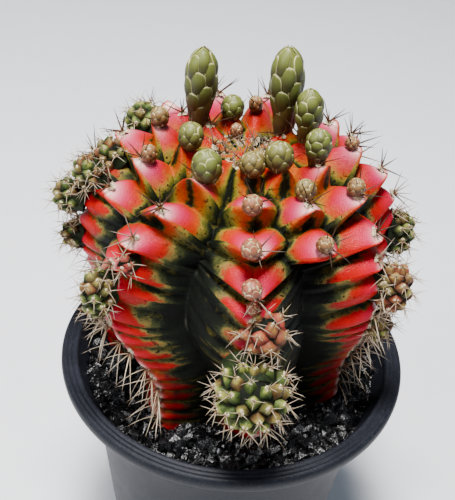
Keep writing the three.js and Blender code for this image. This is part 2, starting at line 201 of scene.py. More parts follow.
def skin_field(angle, s):
    """Depth of the skin below the ridge line, with what the colours need to know, for arrays."""
    radius, _ = ridge_line(s)
    run = run_at(s)
    floor = groove_floor(s)
    finger = smooth(0.03, 0.18, s) * (1.0 - smooth(0.6, 1.0, s))
    best = np.full(angle.shape, -9.0)
    second = np.full(angle.shape, -9.0)
    near = {key: np.zeros(angle.shape) for key in ("phase", "side", "flank", "gap", "sign", "rib", "k")}
    for i, rib in enumerate(RIBS):
        off = (angle - ridge_angle(rib, s) + 540.0) % 360.0 - 180.0
        side = np.abs(np.radians(off)) * radius
        young_lean, old_lean = RIB_LEAN.get(rib[0], USUAL_LEAN)
        lean = blend(young_lean, old_lean, smooth(0.9, 1.3, s))
        phase, gap, k = areole_phase(i, run + lean * side)
        tip = np.maximum(smooth(0.45, 1.0, phase), 1.0 - smooth(0.0, 0.3, phase)) * finger
        soft = np.degrees(blend(1.3, 2.6, finger * tip) / np.maximum(radius, 7.0))
        width = rib[6] * blend(1.0, TIP_WIDTH, tip)
        rounded = np.hypot(np.abs(off), soft) - soft
        flank = 1.0 - (rounded / width) ** blend(1.4, 1.15, smooth(0.4, 0.9, s))
        notch = np.where(phase < 0.4, smooth(0.08, 0.4, phase), np.clip((1.0 - phase) / 0.6, 0, 1) ** 1.25)
        pleat = 1.0 - np.abs(np.cos(np.pi * phase)) ** 0.8
        across = np.exp(-((side / blend(30.0, 10.0, smooth(0.8, 1.2, s))) ** 2))
        drop = blend(PLEAT_DEPTH * pleat * np.clip(gap / 4.5, 0.6, 1.5), NOTCH_DEPTH * notch, finger)
        drop = drop * smooth(0.02, 0.12, s) * (0.8 + 0.4 * chance(float(i), k))
        chin = CHIN_HEIGHT * finger * np.exp(-((phase - 0.09) / 0.08) ** 2 - (side / 2.8) ** 2)
        height = floor * flank - drop * np.clip(flank, 0, 1) ** 0.5 * across + chin
        if rib[7] is not None:
            height = height * (1.0 - smooth(rib[7], rib[7] + SHORT_RIB_FADE, s))
        wins = height > best
        second = np.where(wins, best, np.maximum(second, height))
        for key, value in (("phase", phase), ("side", side), ("flank", flank), ("gap", gap),
                           ("sign", np.sign(off)), ("rib", float(i)), ("k", k)):
            near[key] = np.where(wins, value, near[key])
        best = np.where(wins, height, best)
    lumps = LUMP_HEIGHT * np.sin(angle * 0.31 + 9.0 * s) * np.sin(run * 0.45 + angle * 0.11)
    near["depth"] = floor - np.maximum(best, 0.0) + lumps
    near["valley"] = np.exp(-((best - np.maximum(second, 0.0)) / 0.5) ** 2)
    near["trough"] = np.exp(-((best - np.maximum(second, 0.0)) / 2.2) ** 2)
    near["finger"] = finger
    return near


def spot(angle, s, lift=0.0):
    """A point of the skin in mm, with its outward direction and the direction down the rib."""
    radius, height = ridge_line(s)
    out, up = ridge_normal(s)
    depth = float(skin_field(np.array([float(angle)]), np.array([float(s)]))["depth"][0]) - lift
    a = math.radians(angle)
    around = np.array([math.sin(a), -math.cos(a), 0.0])
    point = np.array([STEM_X, STEM_Y, float(height)]) + around * (float(radius) - float(out) * depth)
    point[2] -= float(up) * depth
    outward = around * float(out) + np.array([0, 0, float(up)])
    down = around * float(up) - np.array([0, 0, float(out)])
    return point, outward, down


def on_rib(name, s, side=0.0, lift=0.0):
    return spot(float(ridge_angle(RIBS[RIB_INDEX[name]], s)) + side, s, lift)


print("depth of the front groove at the waist, mm:",
      np.round(skin_field(np.array([-17.0]), np.array([1.0]))["depth"], 1))

# %% [markdown]
# ## Turning arrays into meshes
# Nearly all pieces are built from plain lists of points and faces, which keeps every scale and spine under
# control. A bag gathers the points, the faces and the painted values of many small parts, and one
# call turns it into an object in metres. The painted values, such as how red the skin is, are stored
# on the points and read by the materials.

# %% A bag of points and faces
class Bag:
    """Gathers points in mm, faces and painted values, then makes one object from them."""

    def __init__(self, *paints):
        self.points = []
        self.faces = []
        self.finishes = []
        self.paints = {name: [] for name in paints}
        self.count = 0

    def put(self, points, faces, finish=0, **paints):
        points = np.asarray(points, float).reshape(-1, 3)
        self.points.append(points)
        self.faces.extend([tuple(int(v) + self.count for v in face) for face in faces])
        self.finishes.extend([finish] * len(faces))
        for name, stored in self.paints.items():
            stored.append(np.broadcast_to(np.asarray(paints.get(name, 0.0), float), (len(points),)))
        self.count += len(points)

    def make(self, name, materials, replaced=(), smooth_faces=True):
        mesh = bpy.data.meshes.new(name)
        mesh.from_pydata((np.concatenate(self.points) * MM).tolist(), [], self.faces)
        for paint, stored in self.paints.items():
            layer = mesh.attributes.new(paint, "FLOAT", "POINT")
            layer.data.foreach_set("value", np.concatenate(stored).astype(np.float32))
        mesh.polygons.foreach_set("use_smooth", np.full(len(mesh.polygons), smooth_faces))
        for material in materials:
            mesh.materials.append(material)
        mesh.polygons.foreach_set("material_index", np.array(self.finishes, dtype=np.int32))
        mesh.update()
        thing = bpy.data.objects.new(name, mesh)
        bpy.context.scene.collection.objects.link(thing)
        if replaced:
            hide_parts(*replaced)
        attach(thing, "root")
        return thing


def ring_faces(rings, count, first=0, closed=True):
    """Quads between rings of points, each ring holding count points."""
    faces = []
    last = count if closed else count - 1
    for ring in range(rings - 1):
        low = first + ring * count
        for k in range(last):
            n = (k + 1) % count
            faces.append((low + k, low + count + k, low + count + n, low + n))
    return faces


def cap_faces(first, count, centre, flipped=False):
    faces = [(centre, first + k, first + (k + 1) % count) for k in range(count)]
    return [face[::-1] for face in faces] if flipped else faces


def unit(vector):
    vector = np.asarray(vector, float)
    return vector / max(np.linalg.norm(vector), 1e-9)


def frame_on(axis, hint=(0.0, 0.0, 1.0)):
    """Two directions square to an axis."""
    axis = unit(axis)
    hint = np.asarray(hint, float)
    if abs(float(np.dot(axis, unit(hint)))) > 0.95:
        hint = np.array([1.0, 0.0, 0.0])
    a = unit(np.cross(hint, axis))
    return a, np.cross(axis, a)


# %% [markdown]
# ## Materials
# One function turns a web colour into the linear values that Blender mixes in, and one adds a node
# with its settings and its links. Everything else is written out where it is used, because each
# finish is different.

# %% Colour and node helpers
def linear(web):
    """A web colour such as #c22f3a as linear red, green, blue and alpha."""
    parts = [int(web[i:i + 2], 16) / 255 for i in (1, 3, 5)]
    return tuple(c / 12.92 if c <= 0.04045 else ((c + 0.055) / 1.055) ** 2.4 for c in parts) + (1.0,)


def add(tree, kind, inputs=None, stops=None, **settings):
    """Adds a node: settings are its properties, inputs its sockets' values or the links to them."""
    made = tree.nodes.new(kind)
    for name, value in settings.items():
        setattr(made, name, value)
    if stops:
        band = made.color_ramp
        while len(band.elements) < len(stops):
            band.elements.new(0.5)
        for element, (position, colour) in zip(band.elements, stops):
            element.position = position
            element.color = colour if isinstance(colour, tuple) else linear(colour)
    for socket, value in (inputs or {}).items():
        if isinstance(value, bpy.types.NodeSocket):
            tree.links.new(value, made.inputs[socket])
        else:
            made.inputs[socket].default_value = value
    return made


class Recipe:
    """A material being written: its tree, and short ways to read paint, mix and calculate."""

    def __init__(self, name):
        self.material = bpy.data.materials.new(name)
        self.material.use_nodes = True
        self.tree = self.material.node_tree
        self.tree.nodes.clear()
        self.where = self.add("ShaderNodeTexCoord").outputs["Object"]

    def add(self, kind, inputs=None, stops=None, **settings):
        return add(self.tree, kind, inputs, stops, **settings)

    def paint(self, name):
        return self.add("ShaderNodeAttribute", attribute_name=name).outputs["Fac"]

    def maths(self, operation, a, b=0.0, clamp=False):
        return self.add("ShaderNodeMath", {0: a, 1: b}, operation=operation, use_clamp=clamp).outputs[0]

    def mix(self, factor, a, b):
        """Colours a and b mixed; a web colour may be given for either."""
        node = self.add("ShaderNodeMix", data_type="RGBA")
        for socket, value in ((node.inputs[0], factor), (node.inputs[6], a), (node.inputs[7], b)):
            if isinstance(value, bpy.types.NodeSocket):
                self.tree.links.new(value, socket)
            else:
                socket.default_value = linear(value) if isinstance(value, str) else value
        return node.outputs[2]

    def noise(self, scale, detail=4.0, roughness=0.6):
        return self.add("ShaderNodeTexNoise", {"Vector": self.where, "Scale": scale, "Detail": detail,
                                               "Roughness": roughness}).outputs["Fac"]

    def cells(self, scale):
        return self.add("ShaderNodeTexVoronoi", {"Vector": self.where, "Scale": scale})

    def step(self, value, low, high, to_low=0.0, to_high=1.0):
        return self.add("ShaderNodeMapRange", {"Value": value, "From Min": low, "From Max": high,
                                               "To Min": to_low, "To Max": to_high}).outputs[0]

    def bump(self, height, strength, distance):
        return self.add("ShaderNodeBump", {"Height": height, "Strength": strength,
                                           "Distance": distance}).outputs[0]

    def surface(self, **sockets):
        """Ends the recipe with a Principled shader; names have spaces for their underscores."""
        named = {name.replace("_", " "): value for name, value in sockets.items()}
        shader = self.add("ShaderNodeBsdfPrincipled", named)
        self.add("ShaderNodeOutputMaterial", {"Surface": shader.outputs["BSDF"]})
        return self.material


# %% [markdown]
# ### Living cactus skin
# The skin is a thin waxy layer over wet flesh. Where it has lost its green the red pigment under it
# shows: red on the ridges, orange near the crown, pink to nearly white where wool has shaded it, and
# through olive to a green so dark that it looks black in the grooves. The pink and near-white of the
# tips are partly a painted highlight, and painted shade darkens the lower stem, the underside of each
# finger and the creases of the pleats. The wax gives a soft sheen, and the cells give a fine leathery
# grain. Typical wax has an IOR of 1.45 and living skin a roughness near 0.4.

# %% Cactus skin
def cactus_skin():
    r = Recipe("variegated_cactus_skin")
    patches = r.noise(190.0, 5.0, 0.62)     # patches 3 to 6 mm across with ragged edges
    flecks = r.noise(850.0, 3.0, 0.6)       # flecks of about 1 mm
    ragged = r.maths("SUBTRACT", patches, 0.5)
    fleck = r.maths("SUBTRACT", flecks, 0.5)
    edge = r.maths("ADD", r.maths("MULTIPLY", ragged, 0.55), r.maths("MULTIPLY", fleck, 0.18))
    redness = r.maths("ADD", r.paint("red"), edge)
    cool = r.add("ShaderNodeValToRGB", {"Fac": redness}, stops=[
        (0.14, "#080a06"), (0.30, "#12160c"), (0.41, "#30341a"), (0.50, "#6b5a2c"),
        (0.58, "#842412"), (0.66, "#940204"), (0.95, "#ae0308")]).outputs["Color"]
    # Painted shade: the lower stem is darkened towards near-black green and dark red.
    cool = r.mix(r.paint("low_shade"), cool, r.mix(r.step(redness, 0.46, 0.66), "#0b0d08", "#5c0204"))
    warm = r.add("ShaderNodeValToRGB", {"Fac": redness}, stops=[
        (0.10, "#0b0f06"), (0.26, "#1c220b"), (0.40, "#4e4c14"), (0.52, "#7c6a1c"),
        (0.64, "#9c480c"), (0.82, "#941802"), (1.00, "#940501")]).outputs["Color"]
    skin = r.mix(r.paint("orange"), cool, warm)
    # Pink and near-white on the tips: partly the skin's own colour, partly a painted highlight.
    pink = r.maths("MULTIPLY", r.paint("pink"), r.maths("ADD", 0.8, r.maths("MULTIPLY", ragged, 1.2)), True)
    skin = r.mix(pink, skin, "#a8085a")
    skin = r.mix(r.paint("pale"), skin, "#f0c8bc")
    # Blotches: the skin's own black-green marks, with painted shade under each chin and finger.
    dark = r.maths("ADD", r.paint("blotch_and_shade"), r.maths("ADD", r.maths("MULTIPLY", ragged, 1.1),
                                                     r.maths("MULTIPLY", fleck, 0.5)))
    skin = r.mix(r.step(dark, 0.26, 0.46), skin, "#4a4316")
    skin = r.mix(r.step(dark, 0.36, 0.58), skin, "#0d1208")
    specks = r.maths("MULTIPLY", r.step(flecks, 0.58, 0.64), r.step(redness, 0.8, 0.5))
    skin = r.mix(specks, skin, "#0d1008")
    scar = r.maths("MULTIPLY", r.paint("scar"), r.step(patches, 0.52, 0.66))
    skin = r.mix(scar, skin, "#45443a")
    cells = r.cells(2600.0).outputs["Distance"]     # cells of 0.4 mm, a little coarser than life
    wrinkles = r.noise(480.0, 4.0, 0.65)
    relief = r.maths("ADD", r.maths("MULTIPLY", cells, 0.4), r.maths("MULTIPLY", wrinkles, 0.8))
    # Red skin is taut and waxy; the dark skin of the grooves is duller.
    gloss = r.maths("ADD", r.step(redness, 0.35, 0.75, 0.62, 0.34), r.step(wrinkles, 0.3, 0.7, -0.05, 0.07))
    return r.surface(Base_Color=skin, Roughness=gloss, IOR=1.45,
                     Specular_IOR_Level=0.1,
                     Normal=r.bump(relief, 0.55, 0.0004), Subsurface_Weight=0.03,
                     Subsurface_Scale=0.002, Subsurface_Radius=(1.0, 0.3, 0.2))


SKIN = cactus_skin()
print("made", SKIN.name)

# %% [markdown]
# ## The ribbed stem
# One closed mesh, because the stem is one living piece. Its columns follow the ridges as they bend,
# and its rows follow the ridge line from the crown down to the collar hidden in the grit.

# %% Build the stem
COLUMNS = 60                # from one ridge to the next
ROWS_ABOVE = 340            # from the crown to the waist
ROWS_BELOW = 170
COLLAR_LEVEL = 79.5
COLLAR_SHARE = 0.7          # width of the hidden collar as a share of the foot
DROOP = 1.6                 # how far the blunt tips hang over their notches

# The flank height where red gives way to green, at the waist and near the foot, for each rib.
REACH = np.full((len(RIBS), 2), 0.55)
for rib_name, waist_and_foot in (("front", (0.86, 1.04)), ("front_left", (0.64, 0.74)),
                                 ("right", (0.66, 0.74)), ("left", (0.55, 0.6))):
    REACH[RIB_INDEX[rib_name]] = waist_and_foot


def stem_paint(field, s):
    """What the skin material reads: each value 0 to 1."""
    phase, side, flank, gap = field["phase"], field["side"], field["flank"], field["gap"]
    upper = 1.0 - smooth(0.5, 0.85, s)
    luck = chance(field["rib"], field["k"])
    centre = np.abs(np.cos(np.pi * phase))
    start, end = REACH[field["rib"].astype(int)].transpose(2, 0, 1)
    reach_low = blend(start, end, smooth(1.0, 1.4, s)) - 0.26 * luck * centre + 0.16 * (1.0 - centre)
    reach_low = reach_low - 0.45 * smooth(1.5, 1.7, s) * (field["rib"] == RIB_INDEX["front"])
    red_low = 0.5 + (flank - reach_low) * 1.15
    red_up = 0.50 + (flank - 0.5) * 0.9 - 0.42 * (1.0 - smooth(0.35, 0.95, phase)) * (1.25 - flank)
    red_up = red_up - 0.34 * field["trough"] - 0.12 * np.exp(-(((phase - 0.42) / 0.16) ** 2))
    red = blend(red_low, red_up, upper)
    orange = (1.0 - smooth(0.2, 0.75, s)) * 0.95
    orange = np.maximum(orange, smooth(0.86, 1.0, flank) * smooth(1.1, 1.4, s) * 0.8)
    # Pink and the near-white patch on each tip are partly the skin's colour under the wool and partly a
    # painted highlight, stronger on the upper stem.
    tip = smooth(0.5, 0.92, phase) * (1.0 - smooth(2.0, 7.0, side))
    pink = tip * blend(0.3, 0.9, upper) * smooth(0.1, 0.35, s) * (1.0 - 0.8 * smooth(1.1, 1.5, s))
    last = np.minimum((1.0 - phase) * gap, phase * gap * 4.0)
    pale = np.exp(-((last / blend(0.9, 2.0, upper)) ** 2 + (side / blend(1.1, 2.3, upper)) ** 2))
    pale = pale * smooth(0.14, 0.3, s)
    # keel and under are painted shade under each chin and on each finger's underside, over the black-green
    # blotches the skin has there.
    window = smooth(0.03, 0.12, phase) * (1.0 - smooth(0.3, 0.5, phase))
    keel = window * np.exp(-((side / 1.9) ** 2))
    under = smooth(0.12, 0.26, phase) * (1.0 - smooth(0.40, 0.56, phase)) * smooth(0.0, 0.3, flank)
    one_side = 0.6 + 0.4 * np.sign(luck - 0.5) * field["sign"]
    under_share = blend(0.22, 0.5, smooth(0.3, 0.6, s))
    blotch_and_shade = upper * (0.46 * keel + under_share * under * (0.6 + 0.5 * one_side) + 0.16 * field["trough"])
    # Painted shade in the creases between the lower pleats.
    crease_shade = np.exp(-(((phase - 0.5) / 0.19) ** 2)) * (1.0 - upper)
    blotch_and_shade = np.maximum(blotch_and_shade, crease_shade * (0.26 + 0.26 * luck) * smooth(0.1, 0.6, flank))
    fresh = smooth(0.05, 0.14, s)
    scar = 0.7 * field["valley"] * smooth(0.75, 0.9, s) * (1.0 - smooth(1.25, 1.45, s))
    # Painted shade darkens the stem below the waist, a little less on the ridges.
    low_shade = smooth(1.1, 1.6, s) * (1.0 - 0.5 * smooth(0.85, 1.0, flank)) * 0.9
    return {"red": np.clip(red, 0, 1), "orange": orange, "pink": np.clip(pink, 0, 1), "low_shade": low_shade,
            "pale": np.clip(pale, 0, 1), "blotch_and_shade": np.clip(blotch_and_shade * fresh, 0, 0.75), "scar": scar}


def build_stem():
    rows = np.concatenate([np.linspace(0.02, 1.0, ROWS_ABOVE, endpoint=False),
                           np.linspace(1.0, 2.0, ROWS_BELOW)])
    strips = []
    for i, rib in enumerate(RIBS):
        here = ridge_angle(rib, rows)
        there = ridge_angle(RIBS[(i + 1) % len(RIBS)], rows)
        span = (there - here) % 360.0
        strips.append(here[:, None] + span[:, None] * np.arange(COLUMNS)[None, :] / COLUMNS)
    angle = np.concatenate(strips, axis=1)
    s = np.broadcast_to(rows[:, None], angle.shape)
    field = skin_field(angle, s)
    radius, height = ridge_line(s)
    out, up = ridge_normal(s)
    r = np.maximum(radius - out * field["depth"], 0.5)
    z = height - up * field["depth"]
    droop = DROOP * np.maximum(smooth(0.55, 1.0, field["phase"]),
                               1.0 - smooth(0.05, 0.3, field["phase"]))
    droop = droop * np.exp(-((field["side"] / 4.5) ** 2)) * field["finger"]
    r = r + droop * up
    z = z - droop * out
    a = np.radians(angle)
    points = np.stack([STEM_X + r * np.sin(a), STEM_Y - r * np.cos(a), z], -1)
    count = angle.shape[1]
    bag = Bag("red", "orange", "pink", "low_shade", "pale", "blotch_and_shade", "scar")
    paints = {name: value.reshape(-1) for name, value in stem_paint(field, s).items()}
    bag.put(points.reshape(-1, 3), ring_faces(len(rows), count), **paints)
    middle = np.array([STEM_X, STEM_Y, 0.0])
    collar = middle + (points[-1] - middle) * COLLAR_SHARE
    collar[:, 2] = COLLAR_LEVEL
    low = bag.count
    bag.put(collar, [])
    bag.put([[STEM_X, STEM_Y, COLLAR_LEVEL - 2.0]], [])
    bag.put([[STEM_X, STEM_Y, float(points[0, :, 2].mean())]], [], orange=1.0, red=0.9)
    closing = ring_faces(2, count, low - count) + cap_faces(low, count, low + count, True)
    closing += cap_faces(0, count, low + count + 1)
    bag.faces.extend(closing)
    bag.finishes.extend([0] * len(closing))
    return bag.make("stem_ribs", [SKIN], ["cactus_stem"])


stem = build_stem()
print("stem points:", len(stem.data.vertices))

# %% [markdown]
# ### Bud scales
# The buds are closed flowers. Their scales are small, thick and smooth: olive green, browner towards
# the stalk, with a thin dry margin that is nearly white. The margin is painted on each scale, and the
# grain is a soft mottling. Leaves reflect with an IOR near 1.4 and a roughness of about 0.45.

# %% Bud scale material
def bud_scales():
    r = Recipe("bud_scales")
    mottle = r.noise(420.0, 4.0)
    tone = r.maths("ADD", r.paint("tone"), r.maths("MULTIPLY", r.maths("SUBTRACT", mottle, 0.5), 0.5))
    green = r.add("ShaderNodeValToRGB", {"Fac": tone}, stops=[
        (0.0, "#46260f"), (0.25, "#52411a"), (0.5, "#4c5220"), (1.0, "#626a2c")]).outputs["Color"]
    young = r.mix(r.paint("young"), green, "#8c4a38")
    # Painted shade: each scale is darker at its base, under the scale that overlaps it.
    young = r.mix(r.maths("MULTIPLY", r.paint("hollow"), 0.8), young, "#26200e")
    rim = r.maths("ADD", r.paint("edge"), r.maths("MULTIPLY", r.maths("SUBTRACT", mottle, 0.5), 0.5))
    rim = r.maths("ADD", rim, r.maths("MULTIPLY", r.paint("young"), 0.12))
    colour = r.mix(r.step(rim, 0.55, 1.05), young, "#c2b98a")
    relief = r.noise(1500.0, 3.0)       # veins and pores of about 0.5 mm
    return r.surface(Base_Color=colour, Roughness=r.step(mottle, 0.3, 0.7, 0.38, 0.55), IOR=1.4,
                     Normal=r.bump(relief, 0.25, 0.0003), Subsurface_Weight=0.05,
                     Subsurface_Scale=0.0015, Subsurface_Radius=(0.8, 1.0, 0.3))


SCALES = bud_scales()

# %% [markdown]
# ## Flower buds
# Each bud is a short stalk that swells into an egg, wrapped in overlapping scales set in a spiral,
# the same golden turn from one to the next that pine cones have. The egg is turned, and every scale
# is a small curved leaf laid on it with its edge folded in, so that it casts a real shadow line.

# %% Build the buds
GOLDEN_TURN = math.radians(137.508)
BUD_SINK = 0.6              # how far a bud's foot is sunk into the skin


def bud_radius(share, slim):
    """Radius at a share of the height, where 1 is the widest."""
    share = np.asarray(share, float)
    middle = 0.62 if slim else 0.5
    half = np.where(share > middle, 1.0 - middle, 0.42 if slim else 0.56)
    egg = np.clip(1.0 - (np.abs(share - middle) / half) ** 2.2, 0, 1) ** 0.55
    stalk = (0.66 if slim else 0.5) * (1.0 - smooth(0.5, 0.8, share))
    return (egg ** 4 + stalk ** 4) ** 0.25


def put_scale(bag, at, axis, across, radius, length, share, turn, wide, tall, slim, young):
    """One scale laid on the egg; share is the height where it starts."""
    u = np.array([-1.0, -1.0, -0.7, -0.35, 0.0, 0.35, 0.7, 1.0, 1.0])[None, :]
    v = np.array([0.0, 0.25, 0.5, 0.7, 0.85, 0.95, 1.0, 1.0])[:, None]
    inside = (np.arange(9) % 8 == 0)[None, :] | (np.arange(8) == 7)[:, None]
    half = wide * (0.75 + 0.5 * v) * np.sqrt(np.clip(1.0 - v ** 2.4, 0.0, 1.0))
    height = share + v * tall / length
    body = radius * np.maximum(bud_radius(np.minimum(height, 0.995), slim), 0.04)
    lift = 0.05 + 0.6 * (1.0 - u ** 2) * np.sin(np.pi * np.minimum(v * 0.7 + 0.25, 1.0)) + 0.34 * v
    lift = np.where(inside, -0.25, lift) * radius / 4.0 * (1.0 - 0.7 * smooth(0.8, 1.0, height))
    angle = turn + np.clip(u * half / np.maximum(body, 0.35 * radius), -1.5, 1.5)
    r = body + lift
    a, b = across
    points = (at + axis * (np.minimum(height, 1.02) * length)[..., None]
              + a * (r * np.cos(angle))[..., None] + b * (r * np.sin(angle))[..., None])
    edge = np.maximum(np.abs(u) ** 5 + 0 * v, v ** 6 + 0 * u) * 0.9
    # The base of each scale is darkened as painted shade, under the scale that overlaps it.
    bag.put(points.reshape(-1, 3), ring_faces(8, 9, closed=False), edge=edge.reshape(-1),
            tone=np.broadcast_to(height, edge.shape).reshape(-1), young=young,
            hollow=((1.0 - smooth(0.1, 0.75, v)) * (1.0 - 0.2 * u ** 2)).reshape(-1))


def put_bud(bag, at, direction, width, length, young=0.0):
    slim = length > 1.6 * width
    axis = unit(direction)
    across = frame_on(axis)
    radius = width / 2 - 0.3
    shares = np.linspace(0.0, 1.0, 15)
    turns = np.linspace(0, 2 * np.pi, 20, endpoint=False)
    r = radius * bud_radius(shares, slim)[:, None]
    rings = (at + axis * (shares * length)[:, None, None]
             + across[0] * (r * np.cos(turns))[..., None] + across[1] * (r * np.sin(turns))[..., None])
    bag.put(rings.reshape(-1, 3), ring_faces(15, 20), tone=np.repeat(shares, 20), young=young)
    count = 24 if slim else 16
    start = float(dice.uniform(0, 6.28))
    for i in range(count):
        share = (0.02 if slim else 0.0) + (0.78 if slim else 0.62) * (i / (count - 1)) ** 0.95
        size = 1.0 - 0.3 * (i / count) ** 2
        tall = min(0.26 if slim else 0.44, 1.01 - share)
        put_scale(bag, at, axis, across, radius, length, share, start + i * GOLDEN_TURN,
                  0.66 * radius * size, tall * length, slim, young)


# name, rib, s, degrees to one side, width, length, how upright, how young (young buds are pinkish)
BUDS = [
    ("bud_tall_left", "left_back", 0.14, 4.0, 8.4, 23.0, 0.85, 0.0),
    ("bud_tall_right", "back_right", 0.11, 6.0, 8.6, 25.0, 0.85, 0.0),
    ("bud_right_back", "right_back", 0.15, -2.0, 7.2, 15.0, 0.75, 0.0),
    ("bud_right", "right", 0.20, 5.0, 6.6, 10.5, 0.6, 0.0),
    ("bud_front_right_1", "front_right", 0.14, 0.0, 7.0, 8.0, 0.7, 0.1),
    ("bud_front_left", "front_left", 0.20, 4.0, 7.3, 8.4, 0.7, 0.0),
    ("bud_left_1", "left_short", 0.13, 0.0, 6.4, 7.2, 0.8, 0.05),
    ("bud_back_left", "back_left", 0.11, 0.0, 6.2, 6.8, 0.8, 0.0),
    ("bud_left_back", "left", 0.25, 0.0, 5.0, 5.0, 0.6, 0.45),
    ("bud_left_2", "left_short", 0.30, 1.5, 4.2, 4.6, 0.7, 0.6),
    ("bud_back", "back", 0.16, 2.0, 4.0, 4.4, 0.8, 0.6),
    ("bud_front_1", "front", 0.12, 2.0, 6.4, 6.2, 0.7, 0.25),
    ("bud_front_2", "front", 0.35, -2.0, 5.0, 5.0, 0.5, 0.75),
    ("bud_front_3", "front", 0.56, -2.5, 5.0, 5.0, 0.4, 0.85),
    ("bud_front_4", "front", 0.73, -1.5, 5.0, 5.0, 0.2, 0.95),
    ("bud_front_right_2", "front_right", 0.30, 3.0, 5.3, 5.4, 0.7, 0.35),
    ("bud_front_right_3", "front_right", 0.58, -2.0, 4.3, 4.6, 0.4, 0.6),
    ("bud_right_2", "right", 0.42, 0.0, 4.6, 4.6, 0.5, 0.5),
]


def bud_place(rib, s, side, upright):
    point, outward, down = on_rib(rib, s, side)
    direction = unit(outward * (1.0 - upright) + np.array([0.0, 0.0, upright]))
    return point - direction * BUD_SINK, direction


for name, rib, s, side, width, length, upright, young in BUDS:
    bag = Bag("edge", "tone", "young", "hollow")
    foot, direction = bud_place(rib, s, side, upright)
    put_bud(bag, foot, direction, width, length + BUD_SINK, young)
    bag.make(name + "_scales", [SCALES], [name])

# Buds too small to have solids of their own.
SMALL_BUDS = [("front_right", 0.05, 4.2, 4.4, 0.8, 0.5), ("back_left", 0.05, 3.6, 4.4, 0.8, 0.7),
              ("right_back", 0.35, 3.8, 3.6, 0.5, 0.6), ("front", 0.84, 3.6, 3.4, 0.3, 0.95),
              ("back", 0.26, 3.0, 3.2, 0.8, 0.8)]
bag = Bag("edge", "tone", "young", "hollow")
for rib, s, width, length, upright, young in SMALL_BUDS:
    foot, direction = bud_place(rib, s, 0.0, upright)
    put_bud(bag, foot, direction, width, length, young)
bag.make("small_buds", [SCALES])
print("buds:", len(BUDS) + len(SMALL_BUDS))

# %% [markdown]
# ### Wool and horn
# An areole is a cushion of cream wool from which the spines grow. Wool scatters light and has no
# highlight, so its roughness is high and it has a little sheen. A spine is horn: straw coloured with
# a darker foot and tip on old ones, brown to nearly black on young ones, smooth and slightly shiny,
# with the IOR of keratin, 1.54.

# %% Wool and horn materials
def wool():
    r = Recipe("areole_wool")
    tufts = r.noise(1500.0, 5.0, 0.7)       # tufts of about 0.5 mm
    colour = r.mix(r.step(tufts, 0.35, 0.65), "#9a8258", "#e4d7b2")
    return r.surface(Base_Color=colour, Roughness=0.9, Sheen_Weight=0.4, Sheen_Roughness=0.5,
                     Normal=r.bump(tufts, 0.9, 0.0006))


def horn():
    r = Recipe("spine_horn")
    streaks = r.noise(900.0, 3.0)
    along = r.paint("along")
    old = r.add("ShaderNodeValToRGB", {"Fac": along}, stops=[
        (0.0, "#6a4628"), (0.25, "#c2ab8c"), (0.75, "#d6cab4"), (1.0, "#8a6648")]).outputs["Color"]
    fresh = r.add("ShaderNodeValToRGB", {"Fac": along}, stops=[
        (0.0, "#6a4424"), (0.3, "#28130b"), (1.0, "#0c0605")]).outputs["Color"]
    colour = r.mix(r.paint("dark"), old, fresh)
    colour = r.mix(r.step(streaks, 0.4, 0.7, 0.0, 0.35), colour, "#6b452b")
    return r.surface(Base_Color=colour, Roughness=0.45, IOR=1.54, Specular_IOR_Level=0.25,
                     Normal=r.bump(streaks, 0.2, 0.0001))


WOOL = wool()
HORN = horn()

# %% [markdown]
# ## Areoles
# A pad of small lumps of wool with loose fibres, and a fan of spines. The spines point outwards and
# to the sides, bend a little as they go, and never branch. Young areoles near the crown have short
# dark spines; the old ones near the pot have long pale spines that curve towards the grit.

# %% Build the areoles
def put_thread(bag, start, direction, bend, length, radius, sides, finish, dark=0.0):
    """A tapering, bending spine or fibre, closed at its root and its point."""
    steps = np.array([0.0, 0.2, 0.45, 0.7, 0.88])
    axis = unit(direction)
    a, b = frame_on(axis)
    turns = np.linspace(0, 2 * np.pi, sides, endpoint=False)
    line = start + axis * (steps * length)[:, None] + np.asarray(bend) * (steps ** 2 * length)[:, None]
    r = radius * (1.0 - steps) ** 0.75
    rings = (line[:, None, :] + a * (r[:, None] * np.cos(turns))[..., None]
             + b * (r[:, None] * np.sin(turns))[..., None])
    tip = start + axis * length + np.asarray(bend) * length
    last = len(steps) * sides
    faces = [face[::-1] for face in ring_faces(len(steps), sides)]
    faces += cap_faces(last - sides, sides, last)
    faces.append(tuple(range(sides))[::-1])
    bag.put(np.concatenate([rings.reshape(-1, 3), [tip]]), faces, finish,
            along=np.append(np.repeat(steps, sides), 1.0), dark=dark)


LUMPS = 6                   # lumps in a pad of wool
LUMP_SPREAD = 0.62          # how far they lie from its middle, as a share of its size
LUMP_RISE = 1.1             # height of a lump as a share of its radius
WOOL_SINK = 0.3


